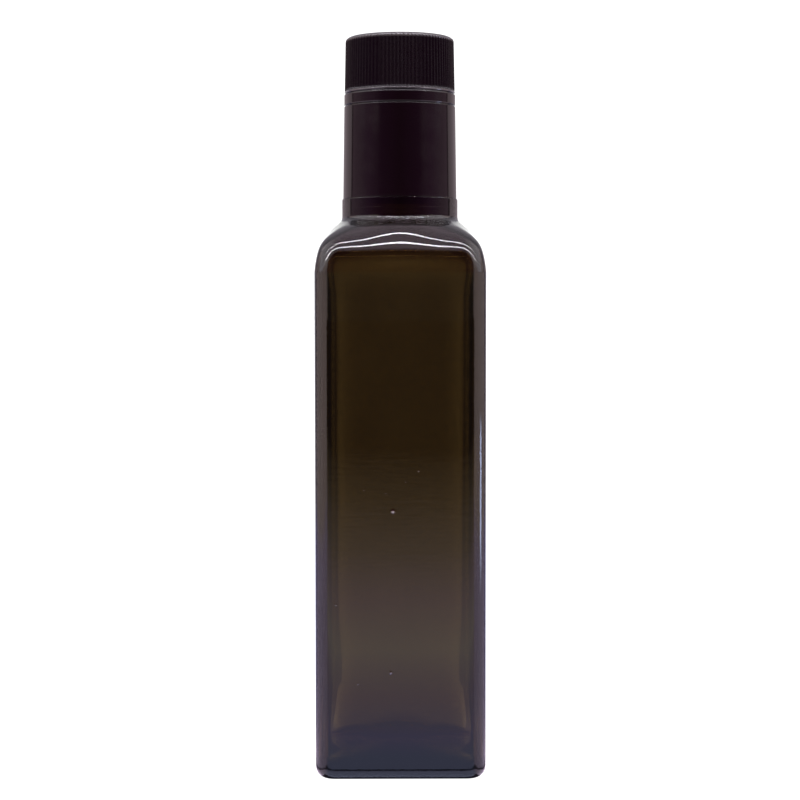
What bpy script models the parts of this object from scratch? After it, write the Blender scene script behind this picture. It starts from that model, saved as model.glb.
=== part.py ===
"""Square oil bottle of dark glass, closed by a ribbed black screw cap.

The glass is one hollow solid: a slightly tapered square body with rounded corners, a domed shoulder, a
round neck and a plain mouth. The closure is three rings of black plastic stacked on the neck: the ribbed
cap, a smooth tamper band and a long neck sleeve that stands on a ledge of the glass.

Lengths are in millimetres up to the place where a mesh is made. The origin is the middle of the base,
+Z is up and the bottle's flat sides face X and Y.
"""

import math

import bmesh
import bpy

MM = 0.001

# Glass body
BASE_HALF = 23.8
SHOULDER_HALF = 23.92
CORNER_RADIUS = 5.5
HEEL_RADIUS = 3.3
WALL_TOP = 138.8
FOOT_INNER_HALF = 17.5
FOOT_SLOPE = 1.5
PUSH_UP_HALF = 11.0
PUSH_UP_HEIGHT = 2.2
PUSH_UP_SHAPE = ((0.5, 1.0), (1.0, 0.9))

# Shoulder: an arc of an ellipse that turns into a short straight slope, then a hollow fillet up to the neck.
# The section is square up to ROUND_START and a circle from ROUND_END
SHOULDER_REACH = 8.0
SHOULDER_RISE = 17.1
SLOPE_ANGLE = math.radians(50.5)
ROUND_START = 143.0
ROUND_END = 158.5
ROUND_POWER = 2

# Neck and mouth
NECK_RADIUS = 16.58
NECK_FILLET = 3.4
SEAM_HEIGHT = 160.1
SEAM_PROUD = 0.06
SEAM_HALF_WIDTH = 0.3
LEDGE_RADIUS = 16.42
LEDGE_HEIGHT = 162.6
LEDGE_ROUND = 0.5
COVERED_RADIUS = 14.5
FINISH_RADIUS = 13.5
FINISH_START = 188.0
FINISH_TAPER = 1.0
MOUTH_HEIGHT = 206.5
MOUTH_ROUND = 0.8

# Inside of the glass
WALL = 2.9
FLOOR_THICKNESS = 4.6
INNER_CORNER = 5.6
FLOOR_ROUND = 5.5
FLOOR_CORNER = 2.3
FLOOR_CROWN = 0.9
LOW_BORE = 12.4
LOW_BORE_FOOT = 159.6
MOUTH_BORE = 10.2
BORE_TAPER = 12.0

# Closure. BLACK is its plastic's colour
FIT_GAP = 0.3
RIBS = 90
RIB_DEPTH = 0.4
CAP_FOOT = 192.7
CAP_TOP = 208.6
CAP_FOOT_RADIUS = 15.82
CAP_TOP_RADIUS = 15.46
CAP_EDGE_ROUND = 1.3
CAP_BEAD_HEIGHT = 0.55
CAP_BORE = 14.0
BAND_FOOT = 189.25
BAND_RADIUS = 15.9
BAND_BORE = 14.0
SLEEVE_TOP_RADIUS = 15.92
SLEEVE_FOOT_RADIUS = 16.26
SLEEVE_WALL = 0.8
SLEEVE_LIP = 1.0
EDGE_ROUND = 0.25
BLACK = (0.012, 0.010, 0.012)

# Facets
CORNER_STEPS = 8
ARC_STEPS = 5
SHOULDER_STEPS = 8
ROUND_SIDES = 60
BORE_SIDES = 48


def smooth_step(value):
    """0 below 0, 1 above 1, and a smooth rise between."""
    share = min(max(value, 0.0), 1.0)
    return share * share * (3.0 - 2.0 * share)


def mix(low, high, share):
    return low + (high - low) * share


def square_ring(half, corner, height, roundness=0.0):
    """Points of a square with rounded corners, anticlockwise from +X: a circle where corner equals half.

    roundness draws each point towards the circle of radius half, and 1 puts it there.
    """
    points = []
    for quarter in range(4):
        turn = quarter * math.pi / 2
        local = [(half, 0.0)]
        for step in range(CORNER_STEPS):
            angle = (step + 0.5) * math.pi / 2 / CORNER_STEPS
            local.append(
                (
                    half - corner + corner * math.cos(angle),
                    half - corner + corner * math.sin(angle),
                )
            )
        for x, y in local:
            scale = mix(1.0, half / math.hypot(x, y), roundness)
            points.append(
                (
                    scale * (x * math.cos(turn) - y * math.sin(turn)),
                    scale * (x * math.sin(turn) + y * math.cos(turn)),
                    height,
                )
            )
    return points


def round_ring(radius, height, sides=ROUND_SIDES):
    """Points of a circle."""
    turns = [2 * math.pi * side / sides for side in range(sides)]
    return [(radius * math.cos(a), radius * math.sin(a), height) for a in turns]


def ribbed_ring(radius, depth, height):
    """Points of a circle with RIBS ribs, two points each: a crest at radius and a root depth inside it."""
    points = []
    for side in range(2 * RIBS):
        angle = math.pi * side / RIBS
        reach = radius - depth * (side % 2)
        points.append((reach * math.cos(angle), reach * math.sin(angle), height))
    return points


def arc(centre_r, centre_z, radius, start, end, steps=ARC_STEPS):
    """(radius, height) points of an arc of the outline. Angles are in degrees from outwards, up is 90."""
    points = []
    for step in range(steps + 1):
        angle = math.radians(mix(start, end, step / steps))
        points.append(
            (
                centre_r + radius * math.cos(angle),
                centre_z + radius * math.sin(angle),
            )
        )
    return points


def skin(rings, close_ends):
    """A bmesh of the rings, each joined to the next. Fans close the ends, or the last joins the first."""
    mesh = bmesh.new()
    loops = [[mesh.verts.new([MM * c for c in p]) for p in ring] for ring in rings]
    pairs = list(zip(loops, loops[1:]))
    if not close_ends:
        pairs.append((loops[-1], loops[0]))
    for low, high in pairs:
        count = len(low)
        for k in range(count):
            n = (k + 1) % count
            mesh.faces.new((low[k], low[n], high[n], high[k]))
    if close_ends:
        for loop, z in ((loops[0], rings[0][0][2]), (loops[-1], rings[-1][0][2])):
            middle = mesh.verts.new((0.0, 0.0, MM * z))
            for k in range(len(loop)):
                mesh.faces.new((loop[k], loop[(k + 1) % len(loop)], middle))
    bmesh.ops.recalc_face_normals(mesh, faces=mesh.faces)
    return mesh


def add_object(name, mesh, material):
    """An object of that name from a bmesh, shaded smooth with its creases kept."""
    data = bpy.data.meshes.new(name)
    mesh.to_mesh(data)
    mesh.free()
    data.materials.append(material)
    data.shade_smooth()
    data.set_sharp_from_angle(angle=math.radians(35))
    made = bpy.data.objects.new(name, data)
    bpy.context.scene.collection.objects.link(made)
    return made


def make_material(name, colour, roughness, alpha=1.0):
    material = bpy.data.materials.new(name)
    material.use_nodes = True
    shader = material.node_tree.nodes["Principled BSDF"]
    shader.inputs["Base Color"].default_value = (*colour, 1.0)
    shader.inputs["Roughness"].default_value = roughness
    shader.inputs["Metallic"].default_value = 0.0
    shader.inputs["Alpha"].default_value = alpha
    return material


def shoulder_outline():
    """(half width, height) from the top of the wall to the foot of the neck, along the middle of a side.

    The ellipse x = A cos t, z = B sin t leans inwards by an angle whose tangent is (A / B) tan t, so it is
    followed until that is SLOPE_ANGLE. A straight slope goes on from there, and the fillet takes it up to
    the neck.
    """
    last = math.atan(math.tan(SLOPE_ANGLE) * SHOULDER_RISE / SHOULDER_REACH)
    outline = []
    for step in range(SHOULDER_STEPS + 1):
        turn = last * step / SHOULDER_STEPS
        outline.append(
            (
                SHOULDER_HALF - SHOULDER_REACH * (1 - math.cos(turn)),
                WALL_TOP + SHOULDER_RISE * math.sin(turn),
            )
        )
    fillet_centre = NECK_RADIUS + NECK_FILLET
    fillet_end = outline[-1][0] - fillet_centre + NECK_FILLET * math.cos(SLOPE_ANGLE)
    slope_end = outline[-1][1] + fillet_end / math.tan(SLOPE_ANGLE)
    fillet_height = slope_end + NECK_FILLET * math.sin(SLOPE_ANGLE)
    fillet = arc(
        fillet_centre,
        fillet_height,
        NECK_FILLET,
        180 + math.degrees(SLOPE_ANGLE),
        180,
    )
    return outline + fillet


def roundness_at(height):
    """0 where the section is the body's square and 1 where it is a circle. It grows late."""
    return smooth_step((height - ROUND_START) / (ROUND_END - ROUND_START)) ** ROUND_POWER


def outer_rings():
    """The outside of the glass from the middle of the base up to the mouth."""
    rings = []
    for width, rise in PUSH_UP_SHAPE:
        half = PUSH_UP_HALF * width
        rings.append(square_ring(half, half / 2, PUSH_UP_HEIGHT * rise))
    rings.append(
        square_ring(FOOT_INNER_HALF - FOOT_SLOPE, CORNER_RADIUS, FOOT_SLOPE / 2)
    )
    rings.append(square_ring(FOOT_INNER_HALF, CORNER_RADIUS, 0.0))
    heel_centre = BASE_HALF - HEEL_RADIUS
    for half, height in arc(heel_centre, HEEL_RADIUS, HEEL_RADIUS, -90, 0):
        rings.append(square_ring(half, CORNER_RADIUS - (BASE_HALF - half), height))
    for half, height in shoulder_outline():
        rings.append(square_ring(half, CORNER_RADIUS, height, roundness_at(height)))
    neck = [
        (NECK_RADIUS, SEAM_HEIGHT - SEAM_HALF_WIDTH),
        (NECK_RADIUS + SEAM_PROUD, SEAM_HEIGHT),
        (NECK_RADIUS, SEAM_HEIGHT + SEAM_HALF_WIDTH),
    ]
    round_centre = LEDGE_RADIUS - LEDGE_ROUND
    neck += arc(round_centre, LEDGE_HEIGHT - LEDGE_ROUND, LEDGE_ROUND, 0, 90, 3)
    neck += [
        (COVERED_RADIUS, LEDGE_HEIGHT),
        (COVERED_RADIUS, FINISH_START - FINISH_TAPER),
        (FINISH_RADIUS, FINISH_START),
    ]
    rim_centre = FINISH_RADIUS - MOUTH_ROUND
    neck += arc(rim_centre, MOUTH_HEIGHT - MOUTH_ROUND, MOUTH_ROUND, 0, 90, 3)
    rings += [square_ring(radius, radius, height) for radius, height in neck]
    return rings


def inner_rings():
    """The inside of the glass from the mouth down to the middle of the floor."""
    rim_centre = MOUTH_BORE + MOUTH_ROUND
    bore = arc(rim_centre, MOUTH_HEIGHT - MOUTH_ROUND, MOUTH_ROUND, 90, 180, 3)
    bore += [
        (MOUTH_BORE, FINISH_START),
        (LOW_BORE, FINISH_START - BORE_TAPER),
        (LOW_BORE, LOW_BORE_FOOT),
    ]
    rings = [square_ring(radius, radius, height) for radius, height in bore]
    for half, height in reversed(shoulder_outline()):
        lean = smooth_step((height - WALL_TOP) / (LOW_BORE_FOOT - WALL_TOP))
        inner_half = half - mix(WALL, NECK_RADIUS - LOW_BORE, lean)
        inner_height = height - WALL / 2 * lean
        roundness = roundness_at(height)
        rings.append(square_ring(inner_half, INNER_CORNER, inner_height, roundness))
    floor_half = BASE_HALF - WALL
    round_half = floor_half - FLOOR_ROUND
    round_height = FLOOR_THICKNESS + FLOOR_ROUND
    for half, height in arc(round_half, round_height, FLOOR_ROUND, 0, -90):
        corner = mix(FLOOR_CORNER, INNER_CORNER, (half - round_half) / FLOOR_ROUND)
        rings.append(square_ring(half, corner, height))
    crown_half = PUSH_UP_HALF / 2
    rings.append(
        square_ring(crown_half, crown_half / 2, FLOOR_THICKNESS + FLOOR_CROWN)
    )
    return rings


def add_bottle():
    glass = make_material("dark_olive_glass", (0.045, 0.036, 0.014), 0.05, alpha=0.85)
    rings = outer_rings() + inner_rings()
    return add_object("glass_bottle", skin(rings, close_ends=True), glass)


def add_cap():
    """The ribbed cap. Its ribs run out into a smooth bead at the foot and a rounded edge at the top."""
    plastic = make_material("cap_plastic", BLACK, 0.35)
    bead_top = CAP_FOOT + CAP_BEAD_HEIGHT
    shoulder = CAP_TOP - CAP_EDGE_ROUND
    rings = [
        ribbed_ring(CAP_FOOT_RADIUS - EDGE_ROUND, 0.0, CAP_FOOT),
        ribbed_ring(CAP_FOOT_RADIUS, 0.0, CAP_FOOT + EDGE_ROUND),
        ribbed_ring(CAP_FOOT_RADIUS, 0.0, bead_top - EDGE_ROUND),
        ribbed_ring(CAP_FOOT_RADIUS, RIB_DEPTH, bead_top),
        ribbed_ring(CAP_TOP_RADIUS, RIB_DEPTH, shoulder),
    ]
    edge_centre = CAP_TOP_RADIUS - CAP_EDGE_ROUND
    for radius, height in arc(edge_centre, shoulder, CAP_EDGE_ROUND, 30, 90, steps=3):
        rings.append(ribbed_ring(radius, 0.0, height))
    cap = add_object("screw_cap", skin(rings, close_ends=True), plastic)

    hollow_rings = [
        round_ring(CAP_BORE, BAND_FOOT, BORE_SIDES),
        round_ring(CAP_BORE, MOUTH_HEIGHT + FIT_GAP, BORE_SIDES),
    ]
    hollow = add_object("cap_hollow", skin(hollow_rings, close_ends=True), plastic)
    cut(cap, hollow)
    return cap


def cut(body, cutter):
    """Takes the cutter's shape out of the body and removes the cutter."""
    boolean = body.modifiers.new("cut", "BOOLEAN")
    boolean.operation = "DIFFERENCE"
    boolean.solver = "EXACT"
    boolean.object = cutter
    bpy.context.view_layer.objects.active = body
    body.select_set(True)
    bpy.ops.object.modifier_apply(modifier=boolean.name)
    bpy.data.objects.remove(cutter)


def add_turned_shell(name, outside, inside, material):
    """A turned ring from its outside and inside outlines, each (radius, height) from foot to top."""
    outline = outside + list(reversed(inside))
    rings = [round_ring(radius, height) for radius, height in outline]
    return add_object(name, skin(rings, close_ends=False), material)


def rounded_side(foot_radius, foot, top_radius, top):
    """The outside of a ring whose two edges are rounded by EDGE_ROUND."""
    low = arc(foot_radius - EDGE_ROUND, foot + EDGE_ROUND, EDGE_ROUND, -90, 0, 1)
    high = arc(top_radius - EDGE_ROUND, top - EDGE_ROUND, EDGE_ROUND, 0, 90, 1)
    return low + high


def add_band():
    top = CAP_FOOT - FIT_GAP
    return add_turned_shell(
        "tamper_band",
        rounded_side(BAND_RADIUS, BAND_FOOT, BAND_RADIUS, top),
        [(BAND_BORE, BAND_FOOT), (BAND_BORE, top)],
        make_material("band_plastic", BLACK, 0.25),
    )


def add_sleeve():
    foot = LEDGE_HEIGHT + FIT_GAP
    top = BAND_FOOT - FIT_GAP
    inside = [
        (SLEEVE_FOOT_RADIUS - SLEEVE_WALL, foot),
        (SLEEVE_TOP_RADIUS - SLEEVE_WALL, top - 2 * SLEEVE_LIP),
        (BAND_BORE, top - SLEEVE_LIP),
        (BAND_BORE, top),
    ]
    return add_turned_shell(
        "neck_sleeve",
        rounded_side(SLEEVE_FOOT_RADIUS, foot, SLEEVE_TOP_RADIUS, top),
        inside,
        make_material("sleeve_plastic", BLACK, 0.2),
    )


def main():
    for old in list(bpy.data.objects):
        bpy.data.objects.remove(old)
    add_bottle()
    add_cap()
    add_band()
    add_sleeve()


main()
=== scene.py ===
"""The dressed square oil bottle: dark olive glass, a ribbed black cap, its tamper band and the neck sleeve.

Every piece is worked out with numpy in millimetres, in the CAD's frame, and goes into its mesh in metres.
"""

import math

import bpy
import numpy as np
from mathutils import Matrix, Vector


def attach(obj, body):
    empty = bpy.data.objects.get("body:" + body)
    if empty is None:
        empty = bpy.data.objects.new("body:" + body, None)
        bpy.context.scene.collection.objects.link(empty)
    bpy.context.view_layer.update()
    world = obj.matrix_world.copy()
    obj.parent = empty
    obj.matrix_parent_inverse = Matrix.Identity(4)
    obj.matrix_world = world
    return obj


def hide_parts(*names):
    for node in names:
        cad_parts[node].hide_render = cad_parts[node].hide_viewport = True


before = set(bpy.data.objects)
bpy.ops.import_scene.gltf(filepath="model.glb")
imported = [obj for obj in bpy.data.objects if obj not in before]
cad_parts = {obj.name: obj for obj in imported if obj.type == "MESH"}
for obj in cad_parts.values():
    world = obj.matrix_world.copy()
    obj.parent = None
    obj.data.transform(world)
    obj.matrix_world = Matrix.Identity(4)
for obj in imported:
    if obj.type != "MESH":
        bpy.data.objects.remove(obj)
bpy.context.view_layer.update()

MM = 0.001
GUARD = 0.08  # step beside a tight round, which keeps its shading off the face next to it

# Glass, in the CAD's own numbers, with the unseen wall and a few rounds made finer here
BASE_HALF = 23.8
SHOULDER_HALF = 23.92
CORNER = 5.5
HEEL = 3.3
WALL_TOP = 138.8
SHOULDER_REACH = 8.0
SHOULDER_RISE = 17.1
SLOPE = math.radians(50.5)
DOME_START = math.radians(9.0)
ROUND_START = 146.0
ROUND_END = 157.6
NECK = 16.58
NECK_FILLET = 2.2
SEAM_HEIGHT = 160.1
SEAM_PROUD = 0.003
SEAM_SPREAD = 0.4
LEDGE_HEIGHT = 162.6
LEDGE_ROUND = 0.07
COVERED = 14.5
COVERED_TOP = 187.0
FINISH = 13.5
FINISH_START = 188.0
MOUTH = 206.5
MOUTH_ROUND = 0.8
KICK = 2.2
KICK_EDGE = 17.5
KICK_ROUND = 0.6
WALL = 2.9
INNER_CORNER = 2.8
THINNING = 0.4
LOW_THINNING = 1.3
HIGH_THINNING = 0.8
THIN_PLACE = 15.6
THIN_WIDTH = 2.8
THIN_BELT = 146.0
THIN_BELT_WIDTH = 5.5
UNEVEN = 0.07
FLOOR = 4.6
FLOOR_CROWN = 0.9
BEND_CORNER = 2.0
BEND_MIDDLE = 6.5
HOLLOW_FOOT = 24.0
SLANT_HEIGHT = 30.0
THIN_END = 145.0
NECK_START = 159.6
LOW_BORE = 12.4
MOUTH_BORE = 10.2

# Closure
BORE = 14.0
RIBS = 90
POINTS_PER_RIB = 10
RIB_DEPTH = 0.4
CAP_ROUND = 1.3
BEAD_ROUND = 0.22
LID_UNDERSIDE = 206.8
CAP_FOOT = 192.7
CAP_TOP = 208.6
CAP_FOOT_RADIUS = 15.82
CAP_TOP_RADIUS = 15.46
BAND_FOOT = 189.25
BAND_TOP = 192.4
BAND_RADIUS = 15.9
BAND_ROUND = 0.25
LIP_RADIUS = 15.5
LIP = 0.26
SLEEVE_FOOT = 162.62
SLEEVE_TOP = 188.95
SLEEVE_FOOT_RADIUS = 16.26
SLEEVE_TOP_RADIUS = 15.92
SLEEVE_ROUND = 0.12

# The glass: its body's colour and depth, its relief in metres, and zones of height in metres
GLASS_INDEX = 1.553  # a little high, chosen over 1.5 to keep a worm-like grain out of the denoised front
GLASS_COLOUR = (0.42, 0.33, 0.10, 1.0)
GLASS_DENSITY = 1250.0
SLOW_WAVE = 0.000012
LEVEL_RIPPLE = 0.000005
RIPPLE_ZONE = (0.045, 0.07, 0.085, 0.105)
NECK_HOLLOW = (0.1552, 0.1562, 0.1572, 0.1582)
POLISHED = 0.004
HOLLOW_ROUGHNESS = 0.07

# The plastics: colour, roughness, gloss and grain, and the polished zones of the cap in metres
RIBBED_PLASTIC = ((0.003, 0.0008, 0.0026), 0.22, 0.19, 0.2)
SMOOTH_PLASTIC = ((0.0022, 0.0008, 0.0014), 0.1, 0.5, 0.1)
CLOUDY = 0.12
GRAIN_HEIGHT = 0.00002
CAP_EDGE = (0.2070, 0.2076)
CAP_BEAD = (0.1925, 0.1928, 0.1932, 0.1935)

# Seeds under the front face, which lift it a little: place across, height, radius and rise
SEEDS = (
    (-2.1, 75.3, 0.85, 0.14),
    (-2.8, 30.3, 0.55, 0.08),
    (5.0, 86.5, 0.35, 0.04),
    (-10.2, 81.2, 0.3, 0.04),
    (-4.1, 80.3, 0.3, 0.04),
    (1.4, 83.5, 0.3, 0.04),
    (-11.9, 27.2, 0.45, 0.05),
    (-1.4, 14.1, 0.35, 0.04),
    (-18.0, 49.3, 0.4, 0.06),
)


def ease(value):
    """0 below 0, 1 above 1 and 3t^2 - 2t^3 between."""
    t = np.clip(value, 0.0, 1.0)
    return t * t * (3.0 - 2.0 * t)


def bump_at(value, centre, width):
    """A bell of height 1: e to the minus square of the distance over the width."""
    return np.exp(-(((value - centre) / width) ** 2))


def turn(centre_r, centre_z, radius, start, end, count):
    """(radius, height) points of an arc, its angles in degrees from outwards with up as 90."""
    angle = np.radians(np.linspace(start, end, count))
    return np.stack([centre_r + radius * np.cos(angle), centre_z + radius * np.sin(angle)], axis=1)


def run(start, end, count):
    """Evenly spaced points from start to end, both left out."""
    share = np.linspace(0.0, 1.0, count + 2)[1:-1, None]
    return np.array(start) * (1 - share) + np.array(end) * share


def put_mesh(name, points, faces, material):
    """A smooth-shaded mesh object in the scene, from points in millimetres."""
    data = bpy.data.meshes.new(name)
    data.from_pydata((points * MM).tolist(), [], faces)
    data.update()
    data.materials.append(material)
    data.shade_smooth()
    piece = bpy.data.objects.new(name, data)
    bpy.context.scene.collection.objects.link(piece)
    return piece


def skin(rings, ends):
    """Points and faces over a stack of rings, shaped (ring, point, 3).

    Each ring is joined to the next. Anticlockwise rings going up give faces that look outwards. ends is
    "poles" for a fan to the middle of the first and last ring, or "loop" where the last ring meets the
    first.
    """
    rows, count, _ = rings.shape
    near = np.arange(count)
    far = np.roll(near, -1)
    low = np.arange(rows if ends == "loop" else rows - 1)[:, None]
    high = (low + 1) % rows
    low, high = low * count, high * count
    quads = np.stack([low + near, low + far, high + far, high + near], axis=2)
    faces = quads.reshape(-1, 4).tolist()
    points = rings.reshape(-1, 3)
    if ends == "poles":
        points = np.concatenate([points, rings[:1].mean(axis=1), rings[-1:].mean(axis=1)])
        last = (rows - 1) * count
        faces += np.stack([far, near, np.full(count, rows * count)], axis=1).tolist()
        faces += np.stack([last + near, last + far, np.full(count, rows * count + 1)], axis=1).tolist()
    return points, faces


def rings_at(reach, height, angle):
    """Rings of points at reach from the axis, each at its height and polar angle."""
    return np.stack([reach * np.cos(angle), reach * np.sin(angle), height + 0 * reach], axis=2)


def turned(outline, count):
    """Round rings from an outline of (radius, height) points."""
    angle = np.arange(count) / count * 2 * np.pi
    return rings_at(outline[:, 0, None] + 0 * angle, outline[:, 1, None], angle)


def fold(angle):
    """The angle from the middle of the nearest side: a triangle wave from 0 to an eighth of a turn."""
    return np.abs((angle + np.pi / 4) % (np.pi / 2) - np.pi / 4)


# The bottle


def bottle_angles():
    """Polar angles round the bottle, spaced evenly along the flats and closer round the corners.

    Across a flat they are the arc tangent of the place across over the half width.
    """
    flat = SHOULDER_HALF - CORNER
    inset = 0.8
    middle = np.linspace(inset - flat, flat - inset, 24)
    places = np.concatenate([[-flat, GUARD * 2 - flat], middle, [flat - GUARD * 2]])
    side = np.arctan2(places, SHOULDER_HALF)
    bend = np.linspace(0.0, np.pi / 2, 24, endpoint=False)
    corner = np.arctan2(flat + CORNER * np.sin(bend), flat + CORNER * np.cos(bend))
    quarter = np.concatenate([side, corner])
    return np.concatenate([quarter + k * np.pi / 2 for k in range(4)])


def rounded_square(half, corner, angle, round_share=0.0):
    """Distance from the axis to a square with rounded corners, along each polar angle.

    The angle is folded into one eighth of the turn. Up to the end of the flat the distance is
    half / cos(angle), and past it the ray meets the corner's circle. round_share draws the distance
    towards half, which makes the section a circle.
    """
    folded = fold(angle)
    c, s = np.cos(folded), np.sin(folded)
    flat = half - corner
    on_flat = half / c
    inside = np.maximum(corner**2 - (flat * (c - s)) ** 2, 0.0)
    on_corner = flat * (c + s) + np.sqrt(inside)
    square = np.where(half * s / c <= flat, on_flat, on_corner)
    return square + (half - square) * round_share


def shoulder_line():
    """(half width, height) up the shoulder: an ellipse's arc, a straight slope and a hollow fillet.

    The arc is (reach x cos t, rise x sin t). It starts at a faint crease, where it already leans a little,
    and ends where its slope is the straight part's.
    """
    last = math.atan(math.tan(SLOPE) * SHOULDER_RISE / SHOULDER_REACH)
    t = np.linspace(DOME_START, last, 40)
    dome = np.stack(
        [
            SHOULDER_HALF - SHOULDER_REACH * (math.cos(DOME_START) - np.cos(t)),
            WALL_TOP + SHOULDER_RISE * np.sin(t),
        ],
        axis=1,
    )
    centre = NECK + NECK_FILLET
    foot = centre - NECK_FILLET * math.cos(SLOPE)
    reach = dome[-1, 0] - foot
    centre_height = dome[-1, 1] + reach / math.tan(SLOPE) + NECK_FILLET * math.sin(SLOPE)
    fillet = turn(centre, centre_height, NECK_FILLET, 180 + math.degrees(SLOPE), 180, 14)
    wall = [(SHOULDER_HALF, WALL_TOP), (SHOULDER_HALF, dome[0, 1] - GUARD)]
    guard = dome[:1] + (dome[1] - dome[0]) * 0.15
    slope = run(dome[-1], fillet[0], 10)
    return np.concatenate([wall, dome[:1], guard, dome[1:], slope, fillet])


def roundness(height):
    """0 where the section is square and 1 where it is round."""
    return ease((height - ROUND_START) / (ROUND_END - ROUND_START)) ** 2


def outside_rings(angle):
    """The glass from the middle of the base up to the mouth.

    The corner's radius shrinks with the half width round the heel, and is half of it under the base.
    """
    heel = BASE_HALF - HEEL
    kick = [[1.0, KICK], [4.0, 2.18], [7.0, 2.1], [10.0, 1.9], [12.5, 1.5], [14.5, 1.0], [16.0, 0.75]]
    foot = [
        np.array(kick),
        turn(KICK_EDGE, KICK_ROUND, KICK_ROUND, 180, 270, 6),
        run((KICK_EDGE, 0.0), (heel, 0.0), 2),
        turn(heel, HEEL, HEEL, -90, 0, 12),
    ]
    side = [
        np.array([[BASE_HALF, HEEL + GUARD]]),
        run((BASE_HALF, HEEL), (SHOULDER_HALF, WALL_TOP), 108),
    ]
    neck = [
        run((NECK, 159.0), (NECK, SEAM_HEIGHT - 0.5), 2),
        np.stack(
            [
                NECK + SEAM_PROUD * np.array([0.0, 0.5, 1.0, 0.5, 0.0]),
                SEAM_HEIGHT + SEAM_SPREAD * np.array([-1.0, -0.375, 0.0, 0.375, 1.0]),
            ],
            axis=1,
        ),
        np.array([[NECK, LEDGE_HEIGHT - LEDGE_ROUND - GUARD]]),
        turn(NECK - LEDGE_ROUND, LEDGE_HEIGHT - LEDGE_ROUND, LEDGE_ROUND, 0, 90, 4),
        np.array([[COVERED, LEDGE_HEIGHT], [COVERED, 175.0], [COVERED, COVERED_TOP]]),
        np.array([[FINISH, FINISH_START], [FINISH, 197.0]]),
        turn(FINISH - MOUTH_ROUND, MOUTH - MOUTH_ROUND, MOUTH_ROUND, 0, 90, 6),
    ]
    line = np.concatenate([*foot, *side, shoulder_line(), *neck])
    half, height = line[:, 0, None], line[:, 1, None]
    corner = np.minimum(CORNER - (BASE_HALF - half) * (height < HEEL), CORNER)
    corner = np.where((half < KICK_EDGE + 0.1) & (height < HEEL), half * 0.5, corner)
    reach = rounded_square(half, corner, angle, roundness(height))
    return rings_at(reach, height, angle)


def inside_rings(angle):
    """The hollow from the mouth down to the middle of the floor: the outside line, drawn in by the wall."""
    bore = [
        turn(MOUTH_BORE + MOUTH_ROUND, MOUTH - MOUTH_ROUND, MOUTH_ROUND, 90, 180, 6)[1:],
        np.array([[MOUTH_BORE, 197.0], [MOUTH_BORE, FINISH_START], [LOW_BORE, 176.0], [LOW_BORE, 168.0]]),
    ]
    up = shoulder_line()
    lean = ease((up[:, 1] - WALL_TOP) / (NECK_START - WALL_TOP))
    half = up[:, 0] - (WALL + (NECK - LOW_BORE - WALL) * lean)
    shoulder = np.stack([half, up[:, 1] - WALL / 2 * lean], axis=1)[::-1]
    foot_half = BASE_HALF - WALL
    side = run((SHOULDER_HALF - WALL, WALL_TOP), (foot_half, HOLLOW_FOOT), 60)
    line = np.concatenate([*bore, shoulder, side])
    half, height = line[:, 0, None], line[:, 1, None]
    reach = rounded_square(half, INNER_CORNER, angle, roundness(height + WALL / 2))
    high = rings_at(reach + thinner_wall(height, angle), height, angle)
    return np.concatenate([high, floor_rings(angle, foot_half)])


def thinner_wall(height, angle):
    """How far the hollow eats into the wall: a bell near each end of a flat, which slants out to the
    corner at the foot, a slow uneven wave, and a thinner belt where the shoulder starts.

    The wave is sin(height / 11 + 2 sin(3 x angle)) x cos(5 x angle + height / 17).
    """
    folded = fold(angle)
    along = (SHOULDER_HALF - WALL) * np.tan(folded)
    wave = np.sin(height / 11 + 2 * np.sin(3 * angle)) * np.cos(5 * angle + height / 17)
    below, above = SLANT_HEIGHT - height, height - SLANT_HEIGHT
    place = THIN_PLACE + 3.0 * ease(below / 20.0) + ease(above / 20.0)
    low = LOW_THINNING * ease(below / 16.0)
    bell = bump_at(along, place, THIN_WIDTH) * (THINNING + low)
    high = HIGH_THINNING * bump_at(height, THIN_BELT, THIN_BELT_WIDTH)
    return (bell + UNEVEN * wave) * ease((THIN_END - height) / 12.0) + high


def floor_rings(angle, half):
    """The hollow's foot: each wall bends in to the floor along a quarter of an ellipse, which starts higher
    up in the middle of a side than at a corner. The floor rises a little to its middle."""
    wall = rounded_square(half, INNER_CORNER, angle) + thinner_wall(10.0, angle)
    folded = fold(angle)
    middle = ease(1.0 - folded / (np.pi / 4))
    bend = BEND_CORNER + BEND_MIDDLE * middle
    t = np.linspace(0.0, np.pi / 2, 26)[1:, None]
    inward = bend * 0.8
    reach = wall - inward * (1 - np.cos(t))
    height = FLOOR + bend * (1 - np.sin(t))
    crown = np.array([0.75, 0.5, 0.25, 0.08])[:, None]
    reach_in = (wall - inward) * crown
    height_in = FLOOR + FLOOR_CROWN * (1 - crown**2) + 0 * angle
    return rings_at(np.concatenate([reach, reach_in]), np.concatenate([height, height_in]), angle)


def make_bottle(material):
    """One closed skin: up the outside from the middle of the base, over the mouth and down the inside."""
    angle = bottle_angles()
    rings = np.concatenate([outside_rings(angle), inside_rings(angle)])
    points, faces = skin(rings, "poles")
    piece = put_mesh("clear_bottle", points, faces, material)
    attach(piece, "root")
    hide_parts("glass_bottle")


# The closure


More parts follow.
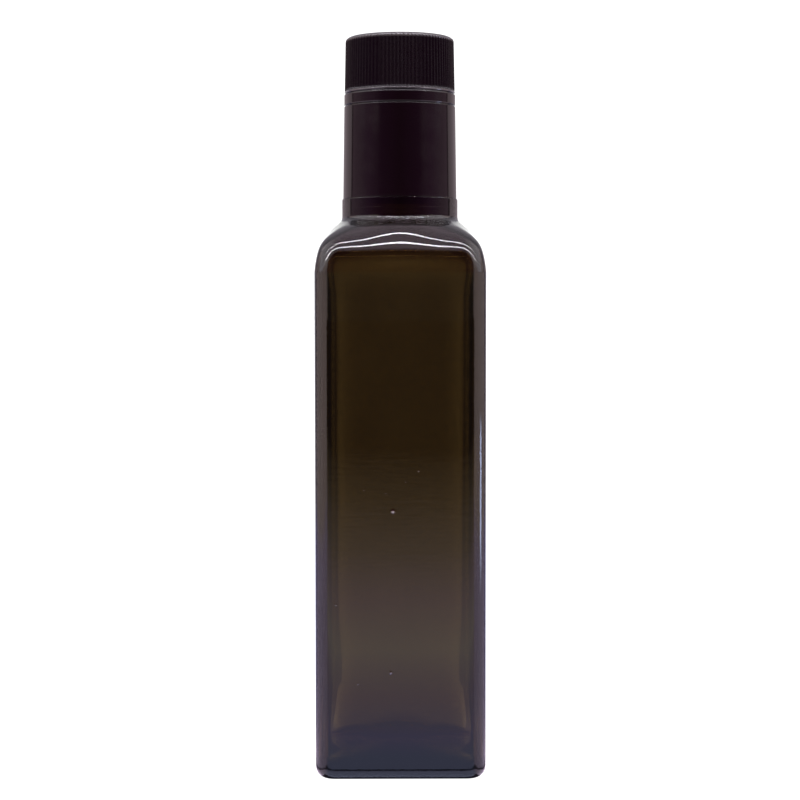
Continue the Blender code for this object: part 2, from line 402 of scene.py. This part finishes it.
def make_cap(material):
    """Ribs are a wave in the radius that fades at both ends.

    The groove is (1 - (1 + cos(90 x angle)) / 2) to the power 0.8, times its depth.
    """
    around = RIBS * POINTS_PER_RIB
    angle = np.arange(around) / around * 2 * np.pi
    wave = 0.5 + 0.5 * np.cos(RIBS * angle)
    groove = (1.0 - wave) ** 0.8
    bead, edge = CAP_FOOT_RADIUS - BEAD_ROUND, CAP_TOP - CAP_ROUND
    line = np.concatenate(
        [
            turn(bead, CAP_FOOT + BEAD_ROUND, BEAD_ROUND, -90, 0, 5),
            turn(bead, CAP_FOOT + 0.4, BEAD_ROUND, 0, 70, 4),
            run((CAP_FOOT_RADIUS - 0.1, CAP_FOOT + 0.7), (CAP_TOP_RADIUS, edge), 24),
            turn(CAP_TOP_RADIUS - CAP_ROUND, edge, CAP_ROUND, 0, 90, 12),
        ]
    )
    radius, height = line[:, 0, None], line[:, 1, None]
    start, end = CAP_FOOT + 0.45, CAP_TOP - 0.55
    depth = RIB_DEPTH * ease((height - start) / 0.25) * ease((end - height) / 0.7)
    outside = rings_at(radius - depth * groove, height, angle)
    lid = turned(np.array([[13.0, CAP_TOP], [8.0, CAP_TOP], [2.0, CAP_TOP]]), around)
    under = [[2.0, LID_UNDERSIDE], [BORE - 0.1, LID_UNDERSIDE], [BORE, LID_UNDERSIDE - 0.2]]
    inside = turned(np.array([*under, [BORE, 200.0], [BORE, CAP_FOOT]]), around)
    points, faces = skin(np.concatenate([inside, outside, lid]), "poles")
    piece = put_mesh("ribbed_cap", points, faces, material)
    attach(piece, "root")
    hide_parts("screw_cap")


def make_ring(name, node, outside, inside, material):
    """A turned ring between its outside and inside outlines, both from foot to top."""
    rings = turned(np.concatenate([outside, inside[::-1]]), 240)
    points, faces = skin(rings, "loop")
    piece = put_mesh(name, points, faces, material)
    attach(piece, "root")
    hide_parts(node)


def ring_side(foot_radius, foot, top_radius, top, edge, count):
    """The outside outline of a ring from its foot up, with a small round at each end."""
    low = turn(foot_radius - edge, foot + edge, edge, -90, 0, 5)
    high = turn(top_radius - edge, top - edge, edge, 0, 90, 5)
    up = np.array([0.0, GUARD])
    return np.concatenate([low, [low[-1] + up], run(low[-1], high[0], count), [high[0] - up], high])


def make_band(material):
    """The tamper band, with a narrow lip above and below that closes the slits beside it."""
    lip_foot, lip_top = BAND_FOOT - LIP, BAND_TOP + LIP
    outside = np.concatenate(
        [
            np.array([[LIP_RADIUS, lip_foot], [LIP_RADIUS, BAND_FOOT - GUARD], [LIP_RADIUS, BAND_FOOT]]),
            ring_side(BAND_RADIUS, BAND_FOOT, BAND_RADIUS, BAND_TOP, BAND_ROUND, 4),
            np.array([[LIP_RADIUS, BAND_TOP], [LIP_RADIUS, BAND_TOP + GUARD], [LIP_RADIUS, lip_top]]),
        ]
    )
    make_ring("snap_band", "tamper_band", outside, np.array([[BORE, lip_foot], [BORE, lip_top]]), material)


def make_sleeve(material):
    """The long skirt, wider inside below the step that rests on the glass."""
    outside = ring_side(SLEEVE_FOOT_RADIUS, SLEEVE_FOOT, SLEEVE_TOP_RADIUS, SLEEVE_TOP, SLEEVE_ROUND, 24)
    inside = np.array([[15.2, SLEEVE_FOOT], [14.86, 186.95], [BORE, 187.95], [BORE, SLEEVE_TOP]])
    make_ring("long_sleeve", "neck_sleeve", outside, inside, material)


# Materials


class Value:
    """A socket in a sum: each operator on it adds its Math nodes."""

    def __init__(self, nodes, socket):
        self.nodes = nodes
        self.socket = socket

    def math(self, operation, *others):
        """One Math node, with this socket first."""
        sockets = dict(enumerate([self, *others]))
        return self.nodes.add("ShaderNodeMath", {"operation": operation}, sockets)["Value"]

    def __add__(self, other):
        return self.math("ADD", other)

    def __sub__(self, other):
        return self.math("SUBTRACT", other)

    def __mul__(self, other):
        return self.math("MULTIPLY", other)

    def __truediv__(self, other):
        return self.math("DIVIDE", other)

    def __rsub__(self, other):
        return (self * -1.0) + other

    __radd__ = __add__
    __rmul__ = __mul__

    def between(self, low, high):
        """0 at low, 1 at high and smooth between, also where low is the larger."""
        made = self.nodes.add(
            "ShaderNodeMapRange",
            {"interpolation_type": "SMOOTHSTEP"},
            {"Value": self, "From Min": low, "From Max": high},
        )
        return made["Result"]

    def within(self, fade_in, start, end, fade_out):
        """1 from start to end, fading smoothly to 0 outside them."""
        return self.between(fade_in, start) * self.between(fade_out, end)


class Made:
    """A node that was added, whose outputs are asked for by name."""

    def __init__(self, nodes, node):
        self.nodes = nodes
        self.node = node

    def __getitem__(self, name):
        return Value(self.nodes, self.node.outputs[name])


class Nodes:
    """The node tree of one material or world, emptied first."""

    def __init__(self, tree):
        self.tree = tree
        tree.nodes.clear()

    def add(self, kind, settings, sockets):
        """A node of that type. Its settings are set first, then its sockets get values or links."""
        node = self.tree.nodes.new(kind)
        for name, value in settings.items():
            if name == "stops":
                self.set_stops(node.color_ramp.elements, value)
            else:
                setattr(node, name, value)
        for name, value in sockets.items():
            if isinstance(value, Value):
                self.tree.links.new(value.socket, node.inputs[name])
            else:
                node.inputs[name].default_value = value
        return Made(self, node)

    def set_stops(self, elements, stops):
        """A new ramp has two stops, which become the first and the last, and the rest go between."""
        for element, (place, colour) in zip(elements, (stops[0], stops[-1])):
            element.position = place
            element.color = (*colour, 1.0)
        for place, colour in stops[1:-1]:
            elements.new(place).color = (*colour, 1.0)

    def ramp(self, value, full, stops):
        """The colour at value, from stops of (value, colour) up to full."""
        places = [(place / full, colour) for place, colour in stops]
        return self.add("ShaderNodeValToRGB", {"stops": places}, {"Fac": value / full})["Color"]

    def blend(self, share, low, high):
        """Colour low where share is 0 and high where it is 1."""
        mixed = self.add("ShaderNodeMix", {"data_type": "RGBA"}, {0: share, 6: low, 7: high})
        return Value(self, mixed.node.outputs[2])

    def tint(self, colour, filter_colour):
        """The product of two colours."""
        settings = {"data_type": "RGBA", "blend_type": "MULTIPLY"}
        mixed = self.add("ShaderNodeMix", settings, {0: 1.0, 6: colour, 7: filter_colour})
        return Value(self, mixed.node.outputs[2])


def glass_finish():
    """Dark olive glass: a clear surface with slow waves, fine level ripples round the lower middle, a few
    glinting seeds on the front and a softer hollow at the foot of the neck, and a body that takes out blue
    most and red least. The relief is in metres."""
    material = bpy.data.materials.new("dark_olive_glass")
    material.use_nodes = True
    nodes = Nodes(material.node_tree)
    place = nodes.add("ShaderNodeTexCoord", {}, {})["Object"]
    split = nodes.add("ShaderNodeSeparateXYZ", {}, {"Vector": place})
    height = split["Z"]
    slow = nodes.add("ShaderNodeTexNoise", {}, {"Vector": place, "Scale": 60.0, "Detail": 1.0})["Fac"]
    level = nodes.add("ShaderNodeMapping", {}, {"Vector": place, "Scale": (1.0, 1.0, 7.0)})["Vector"]
    ripple = nodes.add("ShaderNodeTexNoise", {}, {"Vector": level, "Scale": 130.0, "Detail": 1.0})["Fac"]
    relief = slow * SLOW_WAVE + ripple * height.within(*RIPPLE_ZONE) * LEVEL_RIPPLE
    shine = 0.0
    for across, up, size, rise in SEEDS:
        centre = (across * MM, -BASE_HALF * MM, up * MM)
        gap = nodes.add("ShaderNodeVectorMath", {"operation": "DISTANCE"}, {0: place, 1: centre})["Value"]
        relief = relief + gap.between(size * MM, 0.0) * (rise * MM)
        shine = shine + gap.between(size * 0.7 * MM, size * 0.3 * MM) * (rise * 2.0 + 0.1)
    bumps = nodes.add("ShaderNodeBump", {}, {"Strength": 1.0, "Distance": 1.0, "Height": relief})["Normal"]
    surface = nodes.add(
        "ShaderNodeBsdfPrincipled",
        {},
        {
            "Base Color": (1.0, 1.0, 1.0, 1.0),
            "Metallic": shine,
            "Roughness": height.within(*NECK_HOLLOW) * HOLLOW_ROUGHNESS + POLISHED,
            "IOR": GLASS_INDEX,
            "Transmission Weight": 1.0,
            "Normal": bumps,
        },
    )["BSDF"]
    tinted = {"Color": GLASS_COLOUR, "Density": GLASS_DENSITY}
    body = nodes.add("ShaderNodeVolumeAbsorption", {}, tinted)["Volume"]
    nodes.add("ShaderNodeOutputMaterial", {}, {"Surface": surface, "Volume": body})
    return material


def plastic_finish(name, colour, roughness, gloss, grain):
    """Moulded black plastic: fine cloudy changes in its gloss, a faint grain, and a polish on the top edge
    and the foot of the cap."""
    material = bpy.data.materials.new(name)
    material.use_nodes = True
    nodes = Nodes(material.node_tree)
    place = nodes.add("ShaderNodeTexCoord", {}, {})["Object"]
    cloud = nodes.add("ShaderNodeTexNoise", {}, {"Vector": place, "Scale": 220.0, "Detail": 3.0})["Fac"]
    fine = nodes.add("ShaderNodeTexNoise", {}, {"Vector": place, "Scale": 2600.0, "Detail": 1.0})["Fac"]
    bump = {"Strength": grain, "Distance": GRAIN_HEIGHT, "Height": fine}
    relief = nodes.add("ShaderNodeBump", {}, bump)["Normal"]
    height = nodes.add("ShaderNodeSeparateXYZ", {}, {"Vector": place})["Z"]
    surface = nodes.add(
        "ShaderNodeBsdfPrincipled",
        {},
        {
            "Base Color": (*colour, 1.0),
            "Roughness": cloud * CLOUDY + (roughness - CLOUDY / 2),
            "Specular IOR Level": gloss,
            "Coat Weight": height.between(*CAP_EDGE) + height.within(*CAP_BEAD),
            "Coat Roughness": 0.05,
            "Coat IOR": 1.7,
            "Normal": relief,
        },
    )["BSDF"]
    nodes.add("ShaderNodeOutputMaterial", {}, {"Surface": surface})
    return material


# Studio: light by degrees, and on the floor also by the metres from the bottle's sides

WHITE = (1.3, 1.3, 1.3, 1.0)
CEILING = (1.15, 0.93, 1.08, 1.0)
CEILING_ENDS = (1.9, 1.75, 1.85, 1.0)
LAMP = (26.0, 25.0, 27.0, 1.0)
# STREAK is a painted bright streak of light on the floor to the bottle's right
STREAK = (5.5, 6.0, 8.6, 1.0)
COOL = (0.95, 0.98, 1.4, 1.0)
DEGREES = 180.0 / math.pi
SIDE_START = (40.0, 48.0)
HORIZON = (1.6, 2.6)
WALL_END = (8.0, 8.8)
UPPER_START = (10.0, 32.0)
CEILING_ZONE = (31.0, 38.0, 100.0, 130.0)
LOW_LAMP = (42.1, 42.6, 45.1, 45.6)
HIGH_LAMP = (62.4, 62.9, 65.7, 66.2)
LAMP_HALF = (0.85, 0.75)
STREAK_ACROSS = (82.0, 86.0, 93.0, 98.0)
STREAK_AWAY = (0.35, 0.7, 1.4, 2.2)
COOL_END = (0.75, 0.45)
LOW_LIGHT = (
    (0.0, (0.09, 0.075, 0.07)),
    (34.0, (0.09, 0.075, 0.07)),
    (46.0, (1.15, 0.94, 0.92)),
    (80.0, (1.35, 1.08, 1.04)),
    (121.0, (0.95, 0.74, 0.72)),
    (124.0, (0.3, 0.24, 0.28)),
    (133.0, (0.3, 0.24, 0.28)),
    (136.0, (0.6, 0.52, 0.6)),
    (165.0, (0.5, 0.48, 0.55)),
    (168.0, (1.3, 1.3, 1.3)),
)
HIGH_LIGHT = (
    (0.0, (0.06, 0.02, 0.04)),
    (42.0, (0.12, 0.04, 0.1)),
    (65.0, (0.24, 0.11, 0.21)),
    (90.0, (0.35, 0.22, 0.29)),
    (112.0, (0.36, 0.24, 0.3)),
    (113.0, (0.06, 0.04, 0.05)),
    (116.0, (0.06, 0.04, 0.05)),
    (117.0, (0.66, 0.52, 0.56)),
    (165.0, (0.5, 0.42, 0.46)),
    (168.0, (1.3, 1.3, 1.3)),
)
UPPER_LIGHT = (
    (0.0, (2.0, 1.75, 1.85)),
    (115.0, (2.0, 1.75, 1.85)),
    (128.0, (0.5, 0.46, 0.52)),
    (168.0, (0.5, 0.46, 0.52)),
    (174.0, (1.3, 1.3, 1.3)),
)
# Floor light ahead of the bottle, by metres from its front: a painted bluish shadow of the bottle close to
# it, then a painted pool of light that peaks about a fifth of a metre out and fades further away
FLOOR_AHEAD_SHADOW_AND_POOL = (
    (0.0, (0.636, 0.688, 1.101)),
    (0.033, (0.636, 0.688, 1.101)),
    (0.06, (0.731, 0.671, 1.178)),
    (0.08, (0.731, 0.671, 1.032)),
    (0.127, (0.86, 0.714, 0.946)),
    (0.227, (1.19, 1.02, 0.97)),
    (0.36, (0.972, 0.757, 0.8)),
    (0.56, (0.628, 0.499, 0.413)),
    (0.88, (0.344, 0.267, 0.189)),
    (1.4, (0.069, 0.052, 0.052)),
    (1.6, (0.069, 0.052, 0.052)),
)
# Painted light round the foot, by metres from its sides plus FOOT_REACH: painted shade under the bottle, a
# painted bright band close round the foot, and a painted contact shadow in a ring a little further out
FOOT_SHADE = (
    (0.0, (0.1, 0.1, 0.1)),
    (0.0006, (1.4, 1.4, 1.3)),
    (0.0055, (1.4, 1.35, 1.3)),
    (0.008, (0.25, 0.25, 0.25)),
    (0.013, (0.25, 0.25, 0.25)),
    (0.016, (1.0, 1.0, 1.0)),
)
FOOT_REACH = 0.0015
FLOOR_HALF = 30000.0

# Camera: metres, degrees, and the focal length in pixels of the 800 pixel frame
DISTANCE = 0.6
EYE_HEIGHT = 0.1293
PITCH = 2.3
YAW = 0.4
ROLL = -0.05
FOCAL = 2088.0
FRAME = 800.0
SENSOR = 36.0


def make_studio():
    """World light by direction: dark on the camera side, bright at the sides and the back, a pale ceiling
    and two long narrow lamps overhead, parallel to X. It shows white to the camera.

    across is the degrees round from the camera side, rise those above level, and over those up from the
    camera side in a plane square to X.
    """
    world = bpy.data.worlds.new("studio")
    bpy.context.scene.world = world
    world.use_nodes = True
    nodes = Nodes(world.node_tree)
    way = nodes.add("ShaderNodeTexCoord", {}, {})["Generated"]
    split = nodes.add("ShaderNodeSeparateXYZ", {}, {"Vector": way})
    x, y, z = split["X"], split["Y"], split["Z"]
    across = x.math("ABSOLUTE").math("ARCTAN2", y * -1.0) * DEGREES
    over = z.math("ARCTAN2", y * -1.0) * DEGREES
    rise = z.math("ARCSINE") * DEGREES
    low = nodes.ramp(across, 180.0, LOW_LIGHT)
    high = nodes.ramp(across, 180.0, HIGH_LIGHT)
    sides = nodes.blend(rise.between(*HORIZON), low, high)
    raised = rise.between(*WALL_END)
    upper = nodes.blend(rise.between(*UPPER_START), low, nodes.ramp(across, 180.0, UPPER_LIGHT))
    sides = nodes.blend(raised * across.between(*SIDE_START), sides, upper)
    pale = nodes.blend(x.math("ABSOLUTE").between(0.25, 0.75), CEILING, CEILING_ENDS)
    light = nodes.blend(over.within(*CEILING_ZONE) * raised, sides, pale)
    lamps = over.within(*LOW_LAMP) + over.within(*HIGH_LAMP)
    light = nodes.blend(lamps * x.math("ABSOLUTE").between(*LAMP_HALF), light, LAMP)
    seen = nodes.add("ShaderNodeLightPath", {}, {})["Is Camera Ray"]
    light = nodes.blend(seen, light, WHITE)
    back = nodes.add("ShaderNodeBackground", {}, {"Color": light, "Strength": 1.0})["Background"]
    nodes.add("ShaderNodeOutputWorld", {}, {"Surface": back})


def make_floor():
    """A pale glowing sheet. Its light varies with the direction from the bottle and the distance from its
    sides. Ahead of the bottle it holds a painted shadow of the bottle and a painted pool of light. Round
    the foot it has painted shade under the bottle, a painted bright band and a painted contact shadow in a
    narrow ring. To one side it has a painted bright streak, and it shows white to the camera."""
    material = bpy.data.materials.new("pale_floor")
    material.use_nodes = True
    nodes = Nodes(material.node_tree)
    place = nodes.add("ShaderNodeTexCoord", {}, {})["Object"]
    split = nodes.add("ShaderNodeSeparateXYZ", {}, {"Vector": place})
    x, y = split["X"].math("ABSOLUTE"), split["Y"]
    across = x.math("ARCTAN2", y * -1.0) * DEGREES
    edge = x.math("MAXIMUM", y.math("ABSOLUTE")) - BASE_HALF * MM
    # Painted shadow of the bottle and painted pool of light ahead of it
    shadow_and_pool_ahead = nodes.ramp(edge, 1.6, FLOOR_AHEAD_SHADOW_AND_POOL)
    sides = nodes.ramp(across, 180.0, LOW_LIGHT)
    cool = nodes.tint(sides, COOL)
    sides = nodes.blend(edge.between(*COOL_END), sides, cool)
    # Painted bright streak of light
    streak = across.within(*STREAK_ACROSS) * split["X"].between(0.0, 0.01) * edge.within(*STREAK_AWAY)
    sides = nodes.blend(streak, sides, STREAK)
    light = nodes.blend(across.between(*SIDE_START), shadow_and_pool_ahead, sides)
    # Painted shade under the bottle, painted bright band round the foot and painted contact shadow
    light = nodes.tint(light, nodes.ramp(edge + FOOT_REACH, 0.018, FOOT_SHADE))
    seen = nodes.add("ShaderNodeLightPath", {}, {})["Is Camera Ray"]
    light = nodes.blend(seen, light, WHITE)
    glow = nodes.add("ShaderNodeEmission", {}, {"Color": light, "Strength": 1.0})["Emission"]
    nodes.add("ShaderNodeOutputMaterial", {}, {"Surface": glow})
    corners = np.array([[-1.0, -1, 0], [1, -1, 0], [1, 1, 0], [-1, 1, 0]]) * FLOOR_HALF
    floor = put_mesh("floor", corners, [(0, 1, 2, 3)], material)


def make_camera():
    """The photograph's view: 0.6 m away, a little above the middle and looking slightly down."""
    pitch, yaw, roll = math.radians(PITCH), math.radians(YAW), math.radians(ROLL)
    away = Vector((-math.sin(yaw), -math.cos(yaw), 0.0)) * DISTANCE
    data = bpy.data.cameras.new("camera")
    data.sensor_width = SENSOR
    data.lens = FOCAL / FRAME * SENSOR
    camera = bpy.data.objects.new("camera", data)
    camera.location = away + Vector((0.0, 0.0, EYE_HEIGHT))
    level = Matrix.Rotation(-yaw, 4, "Z") @ Matrix.Rotation(math.pi / 2 - pitch, 4, "X")
    camera.rotation_euler = (level @ Matrix.Rotation(roll, 4, "Z")).to_euler()
    bpy.context.scene.collection.objects.link(camera)
    bpy.context.scene.camera = camera


def set_tone():
    """Colours as they are, with no film look."""
    view = bpy.context.scene.view_settings
    view.view_transform = "Standard"
    view.look = "None"
    view.exposure = 0.0
    view.gamma = 1.0


def main():
    """The view and its light, then the bottle, its cap, band and sleeve."""
    make_camera()
    set_tone()
    make_studio()
    make_floor()
    make_bottle(glass_finish())
    make_cap(plastic_finish("ribbed_plastic", *RIBBED_PLASTIC))
    satin = plastic_finish("smooth_plastic", *SMOOTH_PLASTIC)
    make_band(satin)
    make_sleeve(satin)


main()
